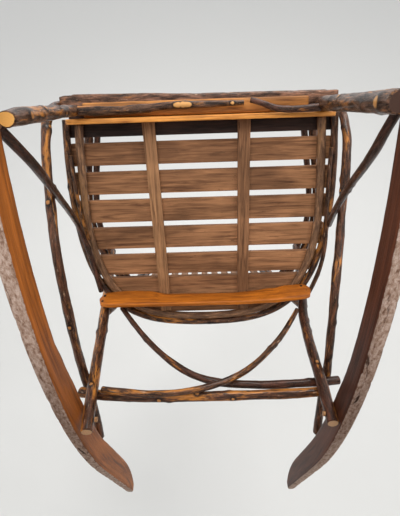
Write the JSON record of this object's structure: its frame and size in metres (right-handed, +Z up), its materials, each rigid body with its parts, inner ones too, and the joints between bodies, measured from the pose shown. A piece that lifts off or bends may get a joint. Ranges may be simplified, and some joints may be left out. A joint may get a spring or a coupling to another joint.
{
  "type": "rocking chair",
  "caption": "Rustic bentwood rocking chair: bark-covered sapling frame, slatted seat and back, bent arms, and curved sawn rockers.",
  "frame": {"origin": "on the floor, under the middle of the chair's bounding box, with the chair at the balance it rests in", "axes": "+Z up, +Y to the chair's back, -Y to its front, X across (+X is the right side seen from the front)"},
  "size_m": [0.6446, 1.089, 0.9251],
  "materials": {
    "thick_bark": "bark-covered pole, dark brown with orange wear, varnished",
    "thin_bark": "bark-covered sapling, dark, varnished",
    "split_strip": "split sapling strip, brown",
    "rocker_wood": "sawn board, brown, rough worn underside",
    "slat_wood": "sawn slat, weathered brown",
    "batten_wood": "sawn batten, lighter brown",
    "golden_board": "varnished board, golden brown",
    "rough_board": "rough live-edge board, dark brown",
    "iron_nail": "dark, rusted",
    "peg": "cut end grain"
  },
  "bodies": {
    "root": {"arm_inner_left": "thick_bark", "arm_inner_right": "thick_bark", "arm_outer_left": "thick_bark", "arm_outer_right": "thick_bark", "back_hoop_inner": "thick_bark", "back_hoop_outer": "thick_bark", "back_nails": "iron_nail", "back_rail_lower": "slat_wood", "back_rail_upper": "slat_wood", "back_slat_1": "slat_wood", "back_slat_10": "slat_wood", "back_slat_11": "slat_wood", "back_slat_2": "slat_wood", "back_slat_3": "slat_wood", "back_slat_4": "slat_wood", "back_slat_5": "slat_wood", "back_slat_6": "slat_wood", "back_slat_7": "slat_wood", "back_slat_8": "slat_wood", "back_slat_9": "slat_wood", "frame_nails": "iron_nail", "front_apron": "golden_board", "front_arch_left": "thin_bark", "front_arch_right": "thin_bark", "front_leg_left": "thick_bark", "front_leg_right": "thick_bark", "front_rail": "golden_board", "leg_pegs": "peg", "rear_brace_left": "thin_bark", "rear_brace_right": "thin_bark", "rear_leg_left": "thick_bark", "rear_leg_right": "thick_bark", "rear_rail": "golden_board", "rear_stretcher": "thick_bark", "rocker_left": "rocker_wood", "rocker_right": "rocker_wood", "seat_batten_left": "batten_wood", "seat_batten_right": "batten_wood", "seat_front_board": "rough_board", "seat_front_cap": "rough_board", "seat_hoop_inner": "split_strip", "seat_hoop_outer": "thick_bark", "seat_nails": "iron_nail", "seat_side_sapling_left": "thin_bark", "seat_side_sapling_right": "thin_bark", "seat_slat_1": "slat_wood", "seat_slat_2": "slat_wood", "seat_slat_3": "slat_wood", "seat_slat_4": "slat_wood", "seat_slat_5": "slat_wood", "seat_slat_6": "slat_wood", "seat_slat_7": "slat_wood", "seat_slat_8": "slat_wood", "side_bow_left": "thick_bark", "side_bow_right": "thick_bark", "side_brace_left": "thin_bark", "side_brace_right": "thin_bark"}
  },
  "joints": []
}
